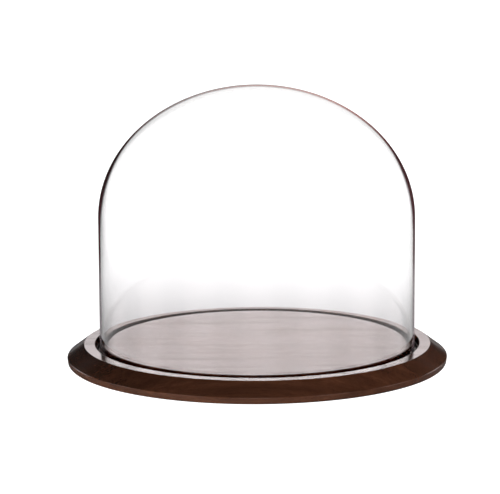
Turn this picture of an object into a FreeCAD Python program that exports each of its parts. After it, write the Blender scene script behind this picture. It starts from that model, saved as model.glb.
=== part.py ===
import FreeCAD, Part
import os
from math import cos, hypot, pi, radians, sin

# Glass cheese dome on a turned wooden base. Millimetres, Z up.
# The origin is the centre of the surface that the foot pads stand on.

# Foot pads under the base
PAD_HEIGHT = 2.0
PAD_RADIUS = 8.0
PAD_EDGE = 0.5
PAD_CIRCLE_RADIUS = 118.0
PAD_COUNT = 4
PAD_FIRST_ANGLE = 45.0

# Wooden base, turned from one board
BASE_THICKNESS = 16.0
PLATEAU_RADIUS = 121.1
GROOVE_OUTER_RADIUS = 130.8
GROOVE_DEPTH = 6.0
RIM_RING_RADIUS = 139.6
BEVEL_DROP = 10.4
BASE_RADIUS = 153.4
EDGE_BAND_LEAN = 0.7

# Radii of the softened corners of the base
PLATEAU_EDGE = 0.7
GROOVE_FLOOR_CORNER = 1.2
RING_INNER_EDGE = 0.6
RING_OUTER_EDGE = 0.8
BEVEL_EDGE = 1.0
BOTTOM_EDGE = 2.2

# Glass dome: a straight wall closed by a half ellipse
GLASS_RADIUS = 127.0
GLASS_WALL = 3.0
RIM_GAP = 0.3
SPRING_ABOVE_BASE = 102.2
CAP_HEIGHT = 105.5

# Heights that follow from the sizes above
BASE_BOTTOM = PAD_HEIGHT
BASE_TOP = BASE_BOTTOM + BASE_THICKNESS
GROOVE_FLOOR = BASE_TOP - GROOVE_DEPTH
RIM_BOTTOM = GROOVE_FLOOR + RIM_GAP
SPRING_LINE = BASE_TOP + SPRING_ABOVE_BASE

FULL_TURN = 360.0
Z_AXIS = FreeCAD.Vector(0, 0, 1)
CENTRE = FreeCAD.Vector(0, 0, 0)


def at(radius, height):
    """The point of the half section at this radius and height."""
    return FreeCAD.Vector(radius, 0, height)


def corner_arc(before, corner, after, radius):
    """The arc of this radius tangent to the two straight runs that meet at a corner."""
    back = (before - corner).normalize()
    ahead = (after - corner).normalize()
    halfway = (back + ahead).normalize()
    cosine = back.dot(halfway)
    sine = hypot(back.x - cosine * halfway.x, back.z - cosine * halfway.z)
    setback = radius * cosine / sine
    start = corner + back * setback
    end = corner + ahead * setback
    middle = corner + halfway * (radius / sine - radius)
    return start, middle, end


def rounded_edges(corners):
    """The edges of a closed outline from (point, corner radius) pairs."""
    edges = []
    ends = []
    count = len(corners)
    for i in range(count):
        point, radius = corners[i]
        if radius == 0:
            ends.append((point, point))
            continue
        before = corners[i - 1][0]
        after = corners[(i + 1) % count][0]
        start, middle, end = corner_arc(before, point, after, radius)
        edges.append(Part.Arc(start, middle, end).toShape())
        ends.append((start, end))
    for i in range(count):
        leave = ends[i][1]
        arrive = ends[(i + 1) % count][0]
        edges.append(Part.LineSegment(leave, arrive).toShape())
    return edges


def turned(edges):
    """The solid that a half section in the XZ plane sweeps in a full turn about Z."""
    outline = Part.Wire(Part.__sortEdges__(edges))
    return Part.Face(outline).revolve(CENTRE, Z_AXIS, FULL_TURN)


def wooden_base():
    """The base: flat plateau, groove for the glass, narrow flat ring, bevel and edge band."""
    bevel_foot = BASE_TOP - BEVEL_DROP
    corners = [
        (at(0, BASE_BOTTOM), 0),
        (at(BASE_RADIUS - EDGE_BAND_LEAN, BASE_BOTTOM), BOTTOM_EDGE),
        (at(BASE_RADIUS, bevel_foot), BEVEL_EDGE),
        (at(RIM_RING_RADIUS, BASE_TOP), RING_OUTER_EDGE),
        (at(GROOVE_OUTER_RADIUS, BASE_TOP), RING_INNER_EDGE),
        (at(GROOVE_OUTER_RADIUS, GROOVE_FLOOR), GROOVE_FLOOR_CORNER),
        (at(PLATEAU_RADIUS, GROOVE_FLOOR), GROOVE_FLOOR_CORNER),
        (at(PLATEAU_RADIUS, BASE_TOP), PLATEAU_EDGE),
        (at(0, BASE_TOP), 0),
    ]
    return turned(rounded_edges(corners))


def cap_arc(radius, height):
    """A quarter ellipse from the top of the straight wall to the crown."""
    centre = at(0, SPRING_LINE)
    side = at(radius, SPRING_LINE)
    crown = at(0, SPRING_LINE + height)
    ellipse = Part.Ellipse(side, crown, centre)
    return ellipse.toBSpline(0, pi / 2).toShape()


def glass_dome():
    """The blown dome: even wall, open below, with a fire-rounded rim."""
    inner_radius = GLASS_RADIUS - GLASS_WALL
    rim_centre_radius = GLASS_RADIUS - GLASS_WALL / 2
    rim_start = RIM_BOTTOM + GLASS_WALL / 2
    rim = Part.Arc(
        at(inner_radius, rim_start),
        at(rim_centre_radius, RIM_BOTTOM),
        at(GLASS_RADIUS, rim_start),
    )
    outer_wall = Part.LineSegment(at(GLASS_RADIUS, rim_start), at(GLASS_RADIUS, SPRING_LINE))
    inner_wall = Part.LineSegment(at(inner_radius, SPRING_LINE), at(inner_radius, rim_start))
    outer_crown = SPRING_LINE + CAP_HEIGHT
    crown_wall = Part.LineSegment(at(0, outer_crown), at(0, outer_crown - GLASS_WALL))
    edges = [
        rim.toShape(),
        outer_wall.toShape(),
        cap_arc(GLASS_RADIUS, CAP_HEIGHT),
        crown_wall.toShape(),
        cap_arc(inner_radius, CAP_HEIGHT - GLASS_WALL),
        inner_wall.toShape(),
    ]
    return turned(edges)


def foot_pad(index):
    """One round pad stuck under the base, its lower edge slightly rounded."""
    angle = radians(PAD_FIRST_ANGLE + index * FULL_TURN / PAD_COUNT)
    corners = [
        (at(0, 0), 0),
        (at(PAD_RADIUS, 0), PAD_EDGE),
        (at(PAD_RADIUS, PAD_HEIGHT), 0),
        (at(0, PAD_HEIGHT), 0),
    ]
    pad = turned(rounded_edges(corners))
    pad.translate(FreeCAD.Vector(PAD_CIRCLE_RADIUS * cos(angle), PAD_CIRCLE_RADIUS * sin(angle), 0))
    return pad


os.makedirs("parts", exist_ok=True)
wooden_base().exportStep("parts/wooden_base.step")
glass_dome().exportStep("parts/glass_dome.step")
for number in range(PAD_COUNT):
    foot_pad(number).exportStep("parts/foot_pad_" + str(number + 1) + ".step")
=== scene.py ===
import math

import bmesh
import bpy
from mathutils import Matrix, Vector


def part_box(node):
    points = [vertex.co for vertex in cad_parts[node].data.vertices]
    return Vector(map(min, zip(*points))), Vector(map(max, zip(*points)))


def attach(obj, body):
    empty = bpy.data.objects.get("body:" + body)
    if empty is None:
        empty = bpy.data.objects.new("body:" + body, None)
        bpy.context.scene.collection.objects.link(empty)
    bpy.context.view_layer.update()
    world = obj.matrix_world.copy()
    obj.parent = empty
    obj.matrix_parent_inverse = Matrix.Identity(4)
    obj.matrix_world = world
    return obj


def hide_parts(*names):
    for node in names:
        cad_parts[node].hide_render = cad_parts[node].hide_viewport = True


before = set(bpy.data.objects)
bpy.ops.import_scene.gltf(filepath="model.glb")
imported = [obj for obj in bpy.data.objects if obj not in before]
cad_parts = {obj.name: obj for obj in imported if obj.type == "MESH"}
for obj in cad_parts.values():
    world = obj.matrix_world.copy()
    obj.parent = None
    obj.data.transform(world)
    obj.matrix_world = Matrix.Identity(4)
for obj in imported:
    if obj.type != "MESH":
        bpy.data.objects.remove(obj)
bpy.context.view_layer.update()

scene = bpy.context.scene

MM = 0.001

# Sizes that the frame gives
base_low, base_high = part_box("wooden_base")
glass_low, glass_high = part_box("glass_dome")
TOP = base_high.z
BASE_BOTTOM = base_low.z
BASE_RADIUS = (base_high.x - base_low.x) / 2
GLASS_RADIUS = (glass_high.x - glass_low.x) / 2
RIM = glass_low.z
CROWN = glass_high.z

# ---------------------------------------------------------------- camera

CAMERA_DISTANCE = 2.4
CAMERA_DOWN = math.radians(12.42)
CAMERA_TURN = (math.radians(90.0 - 10.605), math.radians(0.275), math.radians(0.08))
LENS_MM = 213.7
SENSOR_MM = 36.0


def add_camera():
    """The camera stands in front of the object and looks a little down on the flat top."""
    data = bpy.data.cameras.new("camera")
    data.lens = LENS_MM
    data.sensor_width = SENSOR_MM
    data.clip_start = 0.05
    data.clip_end = 200.0
    camera = bpy.data.objects.new("camera", data)
    scene.collection.objects.link(camera)
    back = CAMERA_DISTANCE * math.cos(CAMERA_DOWN)
    up = CAMERA_DISTANCE * math.sin(CAMERA_DOWN)
    camera.location = (0.0, -back, TOP + up)
    camera.rotation_euler = CAMERA_TURN
    scene.camera = camera


add_camera()

# ---------------------------------------------------------------- shapes

SEGMENTS = 384
ON_AXIS = 1e-6


def arc(centre, radius, start, end, steps):
    """Points of a circular arc in the half section; angles in degrees from +radius towards +Z."""
    points = []
    for i in range(steps + 1):
        angle = math.radians(start + (end - start) * i / steps)
        points.append((centre[0] + radius * math.cos(angle), centre[1] + radius * math.sin(angle)))
    return points


def round_corner(before, corner, after, radius, steps=6):
    """Points of the arc that softens a corner of the half section."""
    corner = Vector(corner)
    back = (Vector(before) - corner).normalized()
    ahead = (Vector(after) - corner).normalized()
    half = back.angle(ahead) / 2
    setback = radius / math.tan(half)
    centre = corner + (back + ahead).normalized() * (radius / math.sin(half))
    start = corner + back * setback - centre
    end = corner + ahead * setback - centre
    turn = start.angle_signed(end)
    points = []
    for i in range(steps + 1):
        angle = -turn * i / steps
        x = start.x * math.cos(angle) - start.y * math.sin(angle)
        y = start.x * math.sin(angle) + start.y * math.cos(angle)
        points.append((centre.x + x, centre.y + y))
    return points


def rounded(corners):
    """The points of a half section from (point, corner radius) pairs."""
    points = []
    for k, (point, radius) in enumerate(corners):
        if radius == 0:
            points.append(point)
            continue
        before = corners[k - 1][0]
        after = corners[(k + 1) % len(corners)][0]
        points += round_corner(before, point, after, radius)
    return points


def held_flat(profile, longest, inset):
    """The profile with a point near each end of every long span, so that smooth shading keeps it flat."""
    points = [profile[0]]
    for before, after in zip(profile, profile[1:]):
        start = Vector(before)
        end = Vector(after)
        if (end - start).length > longest:
            step = (end - start).normalized() * inset
            points += [tuple(start + step), tuple(end - step)]
        points.append(after)
    return points


def ring_of_points(bm, radius, height):
    """One turn of the lathe: a ring of points, or a single one on the axis."""
    if radius < ON_AXIS:
        return [bm.verts.new((0, 0, height))]
    ring = []
    for i in range(SEGMENTS):
        angle = 2 * math.pi * i / SEGMENTS
        ring.append(bm.verts.new((radius * math.cos(angle), radius * math.sin(angle), height)))
    return ring


def skin_between(bm, low, high):
    """The faces between two neighbouring rings, either of which may be a point."""
    if len(low) == 1 and len(high) == 1:
        return
    for i in range(SEGMENTS):
        j = (i + 1) % SEGMENTS
        if len(low) == 1:
            bm.faces.new((low[0], high[j], high[i]))
        elif len(high) == 1:
            bm.faces.new((low[i], low[j], high[0]))
        else:
            bm.faces.new((low[i], low[j], high[j], high[i]))


def lathe(name, profile, closed):
    """A turned mesh from (radius, height) points; a closed profile joins its last point to its first."""
    bm = bmesh.new()
    rings = [ring_of_points(bm, radius, height) for radius, height in profile]
    pairs = list(zip(rings, rings[1:]))
    if closed:
        pairs.append((rings[-1], rings[0]))
    for low, high in pairs:
        skin_between(bm, low, high)
    bmesh.ops.recalc_face_normals(bm, faces=bm.faces)
    mesh = bpy.data.meshes.new(name)
    bm.to_mesh(mesh)
    bm.free()
    mesh.polygons.foreach_set("use_smooth", [True] * len(mesh.polygons))
    piece = bpy.data.objects.new(name, mesh)
    scene.collection.objects.link(piece)
    return piece


# ---------------------------------------------------------------- wooden base

PLATEAU = 121.1 * MM
GROOVE_OUT = 130.8 * MM
GROOVE_FLOOR = TOP - 6.0 * MM
RING = 139.6 * MM
RING_FALL = 0.3 * MM
BEVEL_FOOT = TOP - 10.4 * MM
BAND_LEAN = 0.7 * MM
LONG_SPAN = 1.0 * MM
SPAN_INSET = 0.06 * MM


def base_profile():
    """The half section of the board, from the middle of its underside round to the middle of its top."""
    corners = [
        ((0.0, BASE_BOTTOM), 0),
        ((BASE_RADIUS - BAND_LEAN, BASE_BOTTOM), 2.2 * MM),
        ((BASE_RADIUS, BEVEL_FOOT), 1.0 * MM),
        ((RING, TOP - RING_FALL), 0.8 * MM),
        ((GROOVE_OUT, TOP), 0.6 * MM),
        ((GROOVE_OUT, GROOVE_FLOOR), 1.2 * MM),
        ((PLATEAU, GROOVE_FLOOR), 1.2 * MM),
        ((PLATEAU, TOP), 0.7 * MM),
        ((0.0, TOP), 0),
    ]
    return held_flat(rounded(corners), LONG_SPAN, SPAN_INSET)


base = lathe("turned_base", base_profile(), False)
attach(base, "base")
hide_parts("wooden_base")

# ---------------------------------------------------------------- glass dome

WALL = 3.0 * MM
SPRING = TOP + 102.2 * MM
WALL_STEPS = 12
CAP_STEPS = 72
RIM_STEPS = 16


def cap_points(radius, height):
    """The quarter ellipse from the top of the straight wall to the crown."""
    points = []
    for i in range(CAP_STEPS):
        angle = math.pi / 2 * i / CAP_STEPS
        points.append((radius * math.cos(angle), SPRING + height * math.sin(angle)))
    points.append((0.0, SPRING + height))
    return points


def glass_profile():
    """The wall's closed half section: rim, outer face up to the crown, inner face down again."""
    inner = GLASS_RADIUS - WALL
    rim_top = RIM + WALL / 2
    heights = [rim_top + (SPRING - rim_top) * i / WALL_STEPS for i in range(1, WALL_STEPS)]
    points = arc((inner + WALL / 2, rim_top), WALL / 2, 180, 360, RIM_STEPS)
    points += [(GLASS_RADIUS, height) for height in heights]
    points += cap_points(GLASS_RADIUS, CROWN - SPRING)
    points += reversed(cap_points(inner, CROWN - SPRING - WALL))
    points += [(inner, height) for height in reversed(heights)]
    return points


dome = lathe("clear_glass_dome", glass_profile(), True)
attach(dome, "dome")
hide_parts("glass_dome")

# ---------------------------------------------------------------- node helpers

# A Mix node keeps its number, vector and colour sockets side by side.
NUMBER_A, NUMBER_B, NUMBER_OUT = 2, 3, 0
COLOUR_A, COLOUR_B, COLOUR_OUT = 6, 7, 2
WHITE = (1.0, 1.0, 1.0, 1.0)
USUAL_IOR = 1.5


def new_material(name):
    material = bpy.data.materials.new(name)
    material.use_nodes = True
    tree = material.node_tree
    tree.nodes.clear()
    return material, tree


def surface(tree, shader):
    """Ends a material with this shader."""
    output = tree.nodes.new("ShaderNodeOutputMaterial")
    tree.links.new(shader, output.inputs["Surface"])


def feed(tree, value, socket):
    """Sets a socket to a number or a colour, or links it to another node's output."""
    if isinstance(value, bpy.types.NodeSocket):
        tree.links.new(value, socket)
    else:
        socket.default_value = value


def node(tree, kind, **inputs):
    """A node with its inputs fed by name; an underscore stands for a space."""
    made = tree.nodes.new(kind)
    for name, value in inputs.items():
        feed(tree, value, made.inputs[name.replace("_", " ")])
    return made


def calculated(tree, operation, *values):
    """One step of arithmetic on numbers or outputs."""
    made = tree.nodes.new("ShaderNodeMath")
    made.operation = operation
    for value, socket in zip(values, made.inputs):
        feed(tree, value, socket)
    return made.outputs["Value"]


def length(tree, vector):
    made = tree.nodes.new("ShaderNodeVectorMath")
    made.operation = "LENGTH"
    tree.links.new(vector, made.inputs[0])
    return made.outputs["Value"]


def ramp(tree, source, stops):
    """A colour ramp; a stop is a position with a colour, or with one number for a grey."""
    made = node(tree, "ShaderNodeValToRGB", Fac=source)
    elements = made.color_ramp.elements
    while len(elements) < len(stops):
        elements.new(0.5)
    for element, (position, shade) in zip(elements, stops):
        colour = shade if isinstance(shade, tuple) else (shade, shade, shade)
        element.position = position
        element.color = (*colour, 1.0)
    return made.outputs["Color"]


def sloped(tree, value, low, high, out_low=0.0, out_high=1.0):
    """A straight run from out_low at low to out_high at high, level beyond both.

    A constant whose name ends in RUN holds these four numbers, in this order.
    """
    made = node(tree, "ShaderNodeMapRange", Value=value, From_Min=low, From_Max=high)
    made.inputs["To Min"].default_value = out_low
    made.inputs["To Max"].default_value = out_high
    return made.outputs["Result"]


def eased(tree, value, low, high, out_low=0.0, out_high=1.0):
    """The same run with soft ends."""
    result = sloped(tree, value, low, high, out_low, out_high)
    result.node.interpolation_type = "SMOOTHSTEP"
    return result


def chosen(tree, factor, otherwise, picked):
    """The number that is 'picked' where the factor is 1 and 'otherwise' where it is 0."""
    made = tree.nodes.new("ShaderNodeMix")
    made.data_type = "FLOAT"
    feed(tree, factor, made.inputs["Factor"])
    feed(tree, otherwise, made.inputs[NUMBER_A])
    feed(tree, picked, made.inputs[NUMBER_B])
    return made.outputs[NUMBER_OUT]


def coloured(tree, kind, factor, first, second):
    """A mix of two colours, of the kind MIX or MULTIPLY."""
    made = tree.nodes.new("ShaderNodeMix")
    made.data_type = "RGBA"
    made.blend_type = kind
    feed(tree, factor, made.inputs["Factor"])
    feed(tree, first, made.inputs[COLOUR_A])
    feed(tree, second, made.inputs[COLOUR_B])
    return made.outputs[COLOUR_OUT]


def object_place(tree):
    """Where a point is in the object's own space: the vector, and its X, Y and Z apart."""
    place = tree.nodes.new("ShaderNodeTexCoord").outputs["Object"]
    return place, node(tree, "ShaderNodeSeparateXYZ", Vector=place).outputs


def stretched_noise(tree, place, stretch, detail, roughness):
    """Noise drawn out along X, which is the direction of the grain."""
    space = node(tree, "ShaderNodeMapping", Vector=place, Scale=stretch).outputs["Vector"]
    return node(tree, "ShaderNodeTexNoise", Vector=space, Scale=1.0, Detail=detail, Roughness=roughness)


# ---------------------------------------------------------------- wood

# Noise of the wood: its cells per metre along the grain and across it, its detail and its roughness
WANDER = ((4.0, 22.0, 22.0), 3.0, 0.5)
FIBRES = ((14.0, 520.0, 520.0), 4.0, 0.6)
PORES = ((110.0, 1900.0, 1900.0), 1.0, 0.5)
STREAKS = ((5.0, 105.0, 105.0), 2.0, 0.5)
OPEN_PORES = [(0.30, 0.0), (0.40, 1.0)]

PITH_PLACE = (0.0, 0.024, 0.085)
PITH_TILT = (0.0, math.radians(2.2), math.radians(1.5))
RING_WANDER = (0.0, 0.016, 0.016)
RINGS_PER_METRE = 430.0
RING_SHADES = [(0.0, 0.50), (0.15, 0.58), (0.6, 0.54), (0.93, 0.45), (1.0, 0.50)]
WOOD_COLOURS = [
    (0.24, (0.030, 0.0115, 0.0060)),
    (0.46, (0.057, 0.0216, 0.0111)),
    (0.56, (0.071, 0.0270, 0.0139)),
    (0.78, (0.125, 0.0490, 0.0260)),
]
FIBRE_SHARE = 0.45
STREAK_SHARE = 0.5
PORE_SHARE = 0.3
MIDDLE_GREY = 0.5
CONTRAST_RUN = (TOP - 0.6 * MM, TOP - 0.3 * MM, 1.0, 1.9)
GROOVE_RUN = (TOP - 1.2 * MM, TOP - 0.3 * MM, 1.0, 0.0)
GROOVE_EDGE = GROOVE_OUT + 0.1 * MM
# Painted shade: the colour that darkens the wood deep in the groove.
GROOVE_PAINTED_SHADE = (0.45, 0.24, 0.20, 1.0)
STREAK_COAT_RUN = (0.50, 0.66, 1.0, 0.86)
# Painted shade as well: how far the lacquer is thinned deep in the groove.
GROOVE_COAT_RUN = (0.0, 1.0, 1.0, 0.3)
COAT_ROUGHNESS = 0.16
WOOD_ROUGHNESS_RUN = (0.0, 1.0, 0.42, 0.58)
RELIEF = 0.12 * MM
GRAIN_STRENGTH = 0.12
FIBRE_RELIEF = 0.5


def growth_rings(tree, place):
    """Growth rings round a pith that runs along X below the board, slightly tilted."""
    placed = node(tree, "ShaderNodeMapping", Vector=place, Location=PITH_PLACE, Rotation=PITH_TILT)
    wander = stretched_noise(tree, place, *WANDER)
    pushed = tree.nodes.new("ShaderNodeVectorMath")
    pushed.operation = "MULTIPLY_ADD"
    pushed.inputs[1].default_value = RING_WANDER
    tree.links.new(wander.outputs["Color"], pushed.inputs[0])
    tree.links.new(placed.outputs["Vector"], pushed.inputs[2])
    apart = node(tree, "ShaderNodeSeparateXYZ", Vector=pushed.outputs["Vector"]).outputs
    across = node(tree, "ShaderNodeCombineXYZ", Y=apart["Y"], Z=apart["Z"])
    rings = calculated(tree, "MULTIPLY", length(tree, across.outputs["Vector"]), RINGS_PER_METRE)
    return ramp(tree, calculated(tree, "FRACT", rings), RING_SHADES)


def inside_groove(tree, apart):
    """Where the groove's painted shade goes: 1 deep in the groove and on the unseen underside within its
    radius, 0 on the rest of the board.
    """
    level = node(tree, "ShaderNodeCombineXYZ", X=apart["X"], Y=apart["Y"])
    radius = length(tree, level.outputs["Vector"])
    deep = eased(tree, apart["Z"], *GROOVE_RUN)
    within = calculated(tree, "LESS_THAN", radius, GROOVE_EDGE)
    return calculated(tree, "MULTIPLY", deep, within)


def wood_material():
    material, tree = new_material("dark_walnut_lacquered")
    place, apart = object_place(tree)
    rings = growth_rings(tree, place)
    fibres = stretched_noise(tree, place, *FIBRES).outputs["Fac"]
    pores = stretched_noise(tree, place, *PORES).outputs["Fac"]
    streaks = stretched_noise(tree, place, *STREAKS).outputs["Fac"]
    open_pores = ramp(tree, pores, OPEN_PORES)
    groove = inside_groove(tree, apart)

    # Rings, fine fibres and broad streaks of darker heartwood make the figure.
    # The flat top takes the stain more unevenly than the turned edge.
    grain = coloured(tree, "MIX", FIBRE_SHARE, rings, fibres)
    figure = coloured(tree, "MIX", STREAK_SHARE, grain, streaks)
    contrast = eased(tree, apart["Z"], *CONTRAST_RUN)
    from_grey = calculated(tree, "SUBTRACT", figure, MIDDLE_GREY)
    figure = calculated(tree, "MULTIPLY_ADD", from_grey, contrast, MIDDLE_GREY)
    colour = ramp(tree, figure, WOOD_COLOURS)
    colour = coloured(tree, "MULTIPLY", PORE_SHARE, colour, open_pores)

    # Painted shade: deep in the groove, and on the underside within its radius, the wood is darkened and
    # its lacquer thinned so that the groove looks shaded. The lacquer is a little thinner over the paler
    # streaks as well, and lies over the grain in very low waves.
    colour = coloured(tree, "MULTIPLY", groove, colour, GROOVE_PAINTED_SHADE)
    coat = sloped(tree, streaks, *STREAK_COAT_RUN)
    coat = calculated(tree, "MULTIPLY", coat, sloped(tree, groove, *GROOVE_COAT_RUN))
    waves = node(tree, "ShaderNodeBump", Strength=1.0, Distance=RELIEF, Height=streaks)

    relief = calculated(tree, "MULTIPLY_ADD", fibres, FIBRE_RELIEF, open_pores)
    bump = node(tree, "ShaderNodeBump", Strength=GRAIN_STRENGTH, Distance=RELIEF, Height=relief)
    shader = node(
        tree,
        "ShaderNodeBsdfPrincipled",
        Base_Color=colour,
        Roughness=sloped(tree, fibres, *WOOD_ROUGHNESS_RUN),
        IOR=USUAL_IOR,
        Normal=bump.outputs["Normal"],
        Specular_IOR_Level=0.0,
        Coat_Weight=coat,
        Coat_Roughness=COAT_ROUGHNESS,
        Coat_IOR=USUAL_IOR,
        Coat_Normal=waves.outputs["Normal"],
    )
    surface(tree, shader.outputs["BSDF"])
    return material


# ---------------------------------------------------------------- glass

# How much light the glass lets by, where its slow waves are low and where they are high
CLEAR = (0.985, 0.995)
# The rim's darker glass is a painted shade.
RIM_PAINTED_DARK = (0.28, 0.40)
WAVE_SCALE = 7.0
WAVE_HEIGHT = 2.0 * MM
WAVE_STRENGTH = 0.03

# How far a face has turned away where the wall is painted dark, a painted shade along the outline (0
# head-on, 1 edge-on). By height from the rim (0) to the crown (1), that painted edge is wider a little
# above the middle, and the other two runs are where it widens and where it narrows again.
EDGE_RUN = (0.80, 0.87, 0.0, 1.0)
WIDENING_RUN = (0.44, 0.60, 0.0, 0.05)
NARROWING_RUN = (0.66, 0.83, 1.0, -0.15)

# Share of the painted dark edge and its colour, by the same height: a painted shade that is mauve grey
# near the rim and deep maroon in the middle, turning to a warm salmon painted reflection near the crown
PAINTED_EDGE_STRENGTH = [(0.0, 0.30), (0.12, 0.55), (0.24, 0.64), (0.38, 0.97), (0.80, 0.98), (0.97, 0.62)]
PAINTED_EDGE_COLOUR = [
    (0.0, (0.20, 0.15, 0.175)),
    (0.22, (0.13, 0.080, 0.100)),
    (0.40, (0.060, 0.010, 0.016)),
    (0.75, (0.045, 0.006, 0.009)),
    (0.84, (0.17, 0.022, 0.020)),
    (0.92, (0.42, 0.070, 0.045)),
    (1.0, (0.66, 0.24, 0.17)),
]


def glass_shader(tree, let_by):
    """Clear glass with the slow waviness of blown glass; let_by is how much light passes, from and to."""
    place = tree.nodes.new("ShaderNodeTexCoord").outputs["Object"]
    noise = node(tree, "ShaderNodeTexNoise", Vector=place, Scale=WAVE_SCALE, Detail=1.0, Roughness=0.4)
    waves = noise.outputs["Fac"]
    bump = node(tree, "ShaderNodeBump", Strength=WAVE_STRENGTH, Distance=WAVE_HEIGHT, Height=waves)
    least, most = let_by
    shader = node(
        tree,
        "ShaderNodeBsdfPrincipled",
        Base_Color=ramp(tree, waves, [(0.3, least), (0.7, most)]),
        Roughness=0.0,
        IOR=USUAL_IOR,
        Normal=bump.outputs["Normal"],
        Transmission_Weight=1.0,
    )
    return shader.outputs["BSDF"]


def plain_glass_material(name, let_by):
    material, tree = new_material(name)
    surface(tree, glass_shader(tree, let_by))
    return material


def outer_glass_material():
    """The outside face: as it turns edge-on, it is mixed towards a dark colour, a painted shade along the
    dome's outline that turns to a warm painted reflection near the crown.
    """
    material, tree = new_material("clear_blown_glass")
    height = sloped(tree, object_place(tree)[1]["Z"], RIM, CROWN)
    wider = eased(tree, height, *WIDENING_RUN)
    wider = calculated(tree, "MULTIPLY", wider, eased(tree, height, *NARROWING_RUN))
    turned_away = node(tree, "ShaderNodeLayerWeight", Blend=0.5).outputs["Facing"]
    edge = eased(tree, calculated(tree, "ADD", turned_away, wider), *EDGE_RUN)
    amount = calculated(tree, "MULTIPLY", edge, ramp(tree, height, PAINTED_EDGE_STRENGTH))
    # The painted edge's own colour: painted shade, and a warm painted reflection near the crown.
    dark = node(
        tree,
        "ShaderNodeBsdfPrincipled",
        Base_Color=ramp(tree, height, PAINTED_EDGE_COLOUR),
        Roughness=0.3,
        IOR=USUAL_IOR,
        Specular_IOR_Level=0.0,
    )
    mix = node(tree, "ShaderNodeMixShader", Fac=amount)
    tree.links.new(glass_shader(tree, CLEAR), mix.inputs[1])
    tree.links.new(dark.outputs["BSDF"], mix.inputs[2])
    surface(tree, mix.outputs["Shader"])
    return material


# ---------------------------------------------------------------- rubber

RUBBER_GRAIN = 2600.0
RUBBER_RELIEF = 0.1 * MM
RUBBER_COLOURS = [(0.3, (0.010, 0.009, 0.008)), (0.7, (0.028, 0.025, 0.023))]
RUBBER_ROUGHNESS_RUN = (0.0, 1.0, 0.65, 0.85)


def rubber_material():
    material, tree = new_material("dark_rubber")
    place = tree.nodes.new("ShaderNodeTexCoord").outputs["Object"]
    noise = node(tree, "ShaderNodeTexNoise", Vector=place, Scale=RUBBER_GRAIN, Detail=2.0, Roughness=0.6)
    grain = noise.outputs["Fac"]
    bump = node(tree, "ShaderNodeBump", Strength=0.25, Distance=RUBBER_RELIEF, Height=grain)
    shader = node(
        tree,
        "ShaderNodeBsdfPrincipled",
        Base_Color=ramp(tree, grain, RUBBER_COLOURS),
        Roughness=sloped(tree, grain, *RUBBER_ROUGHNESS_RUN),
        IOR=USUAL_IOR,
        Normal=bump.outputs["Normal"],
    )
    surface(tree, shader.outputs["BSDF"])
    return material


# ---------------------------------------------------------------- materials on the pieces

OUTSIDE, INSIDE, AT_RIM = 0, 1, 2
PAD_COUNT = 4


def glass_part(face):
    """Which of the dome's three materials a face takes."""
    if face.center.z < RIM + WALL / 2:
        return AT_RIM
    outward = face.center.x * face.normal.x + face.center.y * face.normal.y
    outward += (face.center.z - TOP) * face.normal.z
    return OUTSIDE if outward > 0 else INSIDE


base.data.materials.append(wood_material())
dome.data.materials.append(outer_glass_material())
dome.data.materials.append(plain_glass_material("clear_blown_glass_inside", CLEAR))
# Looked into along the wall's whole height, the fire-polished rim looks darker; its faces take a darker
# glass colour, a painted shade.
dome.data.materials.append(plain_glass_material("clear_blown_glass_rim", RIM_PAINTED_DARK))
for face in dome.data.polygons:
    face.material_index = glass_part(face)
rubber = rubber_material()
for k in range(1, PAD_COUNT + 1):
    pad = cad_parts["foot_pad_" + str(k)]
    for pad_slot in pad.material_slots:
        pad_slot.material = rubber

# ---------------------------------------------------------------- what each kind of light sees

# Counts of turns are whole numbers, so each is compared with a limit half a turn further.
HALF = 0.5


def more_turns(tree, path, depth, count):
    """1 where the light has had more turns of this kind than count, otherwise 0."""
    return calculated(tree, "GREATER_THAN", path.outputs[depth], count + HALF)


def at_most(tree, turns, count):
    """1 where there are count turns or fewer, otherwise 0."""
    return calculated(tree, "LESS_THAN", turns, count + HALF)


def seen_straight(tree, path, steps):
    """1 for what is seen directly or straight through the glass, 0 for reflected and scattered light.

    steps is 0 for a surface. It is 1 for the world, which counts as one step further along the
    light's way than a surface does.
    """
    turns = calculated(tree, "SUBTRACT", path.outputs["Ray Depth"], path.outputs["Transmission Depth"])
    return at_most(tree, turns, steps)


def seen_in_glass(tree, path, faces):
    """1 for light mirrored once, by a sharp glass face, having passed at most this many faces."""
    once = at_most(tree, path.outputs["Glossy Depth"], 1)
    once = calculated(tree, "MULTIPLY", more_turns(tree, path, "Glossy Depth", 0), once)
    near = at_most(tree, path.outputs["Transmission Depth"], faces)
    once = calculated(tree, "MULTIPLY", once, near)
    return calculated(tree, "MULTIPLY", once, path.outputs["Is Singular Ray"])


# ---------------------------------------------------------------- floor

FLOOR_HALF_SIDE = 40.0
FLOOR_DROP = 0.2 * MM
FLOOR_COLOUR = (0.23, 0.243, 0.252, 1.0)

# How strongly the floor and the world glow where they are seen straight, and seen through the glass
PLAIN = 1.30
THROUGH_GLASS = 1.15

# How strongly the floor glows for each kind of light, by distance from the middle or by X, in metres
HAZE_RUN = (0.2, 0.6, 0.35, THROUGH_GLASS)
IN_WOOD_RUN = (0.2, 0.5, 0.04, 0.2)
IN_GLASS_RUN = (0.2, 0.5, 0.4, 1.0)
IN_GLASS_SIDE_RUN = (-0.45, -0.1, 0.5, 0.95)
HALO_RUN = (0.170, 0.190, 5.4, 0.8)
HALO_SIDE_RUN = (-0.14, 0.12, 1.0, 0.12)
UNDER_BASE_RUN = (0.155, 0.166, 0.3, 1.0)
FLOOR_GLASS_FACES = 6


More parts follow.
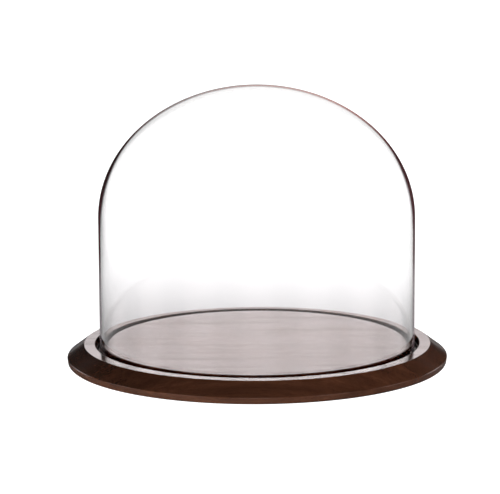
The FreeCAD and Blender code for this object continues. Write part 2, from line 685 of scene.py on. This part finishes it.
def floor_material():
    """A white light table: a halo round the object lights its lower edge, more from the left."""
    material, tree = new_material("white_light_table")
    place, apart = object_place(tree)
    distance = length(tree, place)
    path = tree.nodes.new("ShaderNodeLightPath")

    in_glass = eased(tree, distance, *IN_GLASS_RUN)
    in_glass = calculated(tree, "MULTIPLY", in_glass, eased(tree, apart["X"], *IN_GLASS_SIDE_RUN))
    halo = eased(tree, distance, *HALO_RUN)
    halo = calculated(tree, "MULTIPLY", halo, eased(tree, apart["X"], *HALO_SIDE_RUN))
    halo = calculated(tree, "MULTIPLY", halo, eased(tree, distance, *UNDER_BASE_RUN))
    hazy = sloped(tree, distance, *HAZE_RUN)
    plain = chosen(tree, more_turns(tree, path, "Transmission Depth", 0), PLAIN, hazy)

    in_wood = eased(tree, distance, *IN_WOOD_RUN)
    strength = chosen(tree, more_turns(tree, path, "Glossy Depth", 0), halo, in_wood)
    strength = chosen(tree, seen_in_glass(tree, path, FLOOR_GLASS_FACES), strength, in_glass)
    strength = chosen(tree, seen_straight(tree, path, 0), strength, plain)
    shader = node(
        tree,
        "ShaderNodeBsdfPrincipled",
        Base_Color=FLOOR_COLOUR,
        Roughness=0.7,
        Emission_Color=WHITE,
        Emission_Strength=strength,
    )
    surface(tree, shader.outputs["BSDF"])
    material.cycles.emission_sampling = "NONE"
    return material


def add_floor():
    mesh = bpy.data.meshes.new("floor")
    side = FLOOR_HALF_SIDE
    corners = [(-side, -side, 0), (side, -side, 0), (side, side, 0), (-side, side, 0)]
    mesh.from_pydata(corners, [], [(0, 1, 2, 3)])
    floor = bpy.data.objects.new("floor", mesh)
    floor.location.z = -FLOOR_DROP
    scene.collection.objects.link(floor)
    mesh.materials.append(floor_material())


add_floor()

# ---------------------------------------------------------------- lamp and world

LAMP_PLACE = (2.0, -2.1, 1.25)
LAMP_TARGET = (0, 0, 0.05)
LAMP_SIDE = 1.2
LAMP_WATTS = 64
LAMP_COLOUR = (1.0, 0.96, 0.92)


def add_lamp():
    """A soft square lamp in front on the right; it lights the wood but makes no image of itself."""
    data = bpy.data.lights.new("key_right", "AREA")
    data.shape = "SQUARE"
    data.size = LAMP_SIDE
    data.energy = LAMP_WATTS
    data.color = LAMP_COLOUR
    lamp = bpy.data.objects.new("key_right", data)
    scene.collection.objects.link(lamp)
    lamp.location = LAMP_PLACE
    lamp.visible_glossy = False
    lamp.visible_transmission = False
    lamp.rotation_euler = (Vector(LAMP_TARGET) - Vector(LAMP_PLACE)).to_track_quat("-Z", "Y").to_euler()


add_lamp()

PANEL_COUNT = 8.0
PANEL_TINT = (1.0, 0.915, 0.92, 1.0)
PANEL = 1.67
DIM = 0.02

# Where the panels are and how bright, by the wave of their turn or by the height of the direction
ACROSS_RUN = (-0.5, 0.2, 0.0, 1.0)
BELOW_RUN = (0.28, 0.42, 1.0, 0.0)
BRIGHT_RUN = (0.08, 0.28, 0.45 * PANEL, 1.25 * PANEL)
TOP_STRIP_RUN = (0.25, 0.29, 0.0, 2.0)

# How light changes from left to right, or under the glass from the horizon upwards
FROM_RIGHT_RUN = (-0.6, 0.5, 0.1, 1.0)
FROM_ABOVE_RUN = (0.1, 0.5, 0.0, 2.2)
GLASS_RIGHT_RUN = (-0.4, 0.1, 0.9, 1.1)
WORLD_GLASS_FACES = 2
WALL_FACES = 2


def soft_panels(tree, apart):
    """Upright soft panels all round, brighter towards their tops, dark between them and overhead."""
    turn = calculated(tree, "ARCTAN2", apart["X"], apart["Y"])
    wave = calculated(tree, "COSINE", calculated(tree, "MULTIPLY", turn, PANEL_COUNT))
    across = eased(tree, wave, *ACROSS_RUN)
    below = eased(tree, apart["Z"], *BELOW_RUN)
    bright = sloped(tree, apart["Z"], *BRIGHT_RUN)
    bright = calculated(tree, "ADD", bright, eased(tree, apart["Z"], *TOP_STRIP_RUN))
    return chosen(tree, calculated(tree, "MULTIPLY", across, below), DIM, bright)


def world_light():
    """The studio round the object, which looks plain white wherever it is seen straight."""
    world = bpy.data.worlds.new("studio")
    scene.world = world
    world.use_nodes = True
    tree = world.node_tree
    tree.nodes.clear()
    coords = tree.nodes.new("ShaderNodeTexCoord")
    apart = node(tree, "ShaderNodeSeparateXYZ", Vector=coords.outputs["Generated"]).outputs
    path = tree.nodes.new("ShaderNodeLightPath")
    panels = soft_panels(tree, apart)

    # Scattered light comes mostly from the right.
    scattered = more_turns(tree, path, "Diffuse Depth", 0)
    from_right = calculated(tree, "MULTIPLY", panels, eased(tree, apart["X"], *FROM_RIGHT_RUN))
    strength = chosen(tree, scattered, panels, from_right)

    # Lamp light does not pass the glass by itself: what stands under the dome gets it from above.
    passed_glass = more_turns(tree, path, "Transmission Depth", WALL_FACES)
    inside = calculated(tree, "MULTIPLY", scattered, passed_glass)
    strength = chosen(tree, inside, strength, eased(tree, apart["Z"], *FROM_ABOVE_RUN))

    in_glass = seen_in_glass(tree, path, WORLD_GLASS_FACES)
    strength = chosen(tree, in_glass, strength, eased(tree, apart["X"], *GLASS_RIGHT_RUN))

    direct = seen_straight(tree, path, 1)
    through = more_turns(tree, path, "Transmission Depth", 0)
    strength = chosen(tree, direct, strength, chosen(tree, through, PLAIN, THROUGH_GLASS))
    tint = coloured(tree, "MIX", calculated(tree, "ADD", direct, in_glass), PANEL_TINT, WHITE)
    light = node(tree, "ShaderNodeBackground", Color=tint, Strength=strength)
    output = tree.nodes.new("ShaderNodeOutputWorld")
    tree.links.new(light.outputs["Background"], output.inputs["Surface"])
    world.cycles.sampling_method = "NONE"


world_light()
scene.view_settings.view_transform = "Standard"
scene.view_settings.look = "None"
